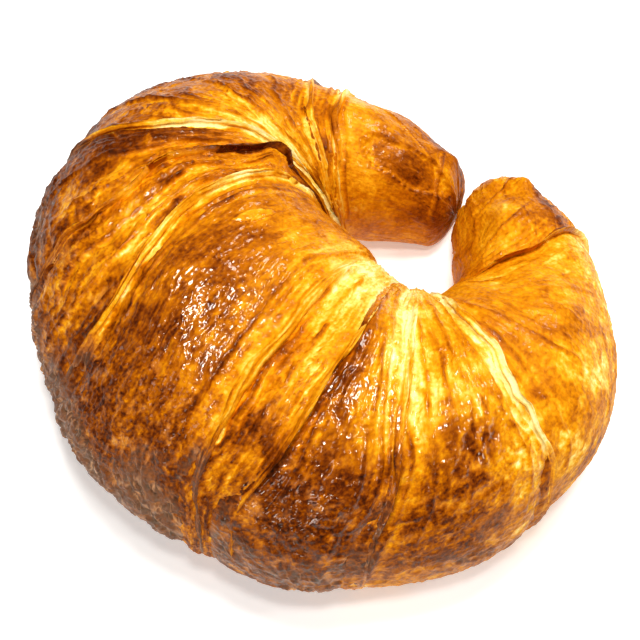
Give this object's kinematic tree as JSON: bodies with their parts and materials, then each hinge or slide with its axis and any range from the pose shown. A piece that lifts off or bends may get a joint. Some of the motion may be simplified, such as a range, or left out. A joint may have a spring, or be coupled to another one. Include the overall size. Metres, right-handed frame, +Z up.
{
  "type": "croissant",
  "caption": "Curled crescent of baked laminated pastry with overlapping rolled turns, its two tips almost meeting round an open middle; lies flat on its base.",
  "frame": {"origin": "centre of the bounding box in plan, on the surface that the croissant rests on", "axes": "+Z up through the crust's top, +X to the right of the picture, +Y to its back; the crescent's tips face the back right"},
  "size_m": [0.147, 0.1465, 0.0593],
  "materials": {
    "crust": "egg-glazed flaky crust, golden to dark brown, satin with glossy blisters"
  },
  "bodies": {
    "root": {"croissant": "crust"}
  },
  "joints": []
}
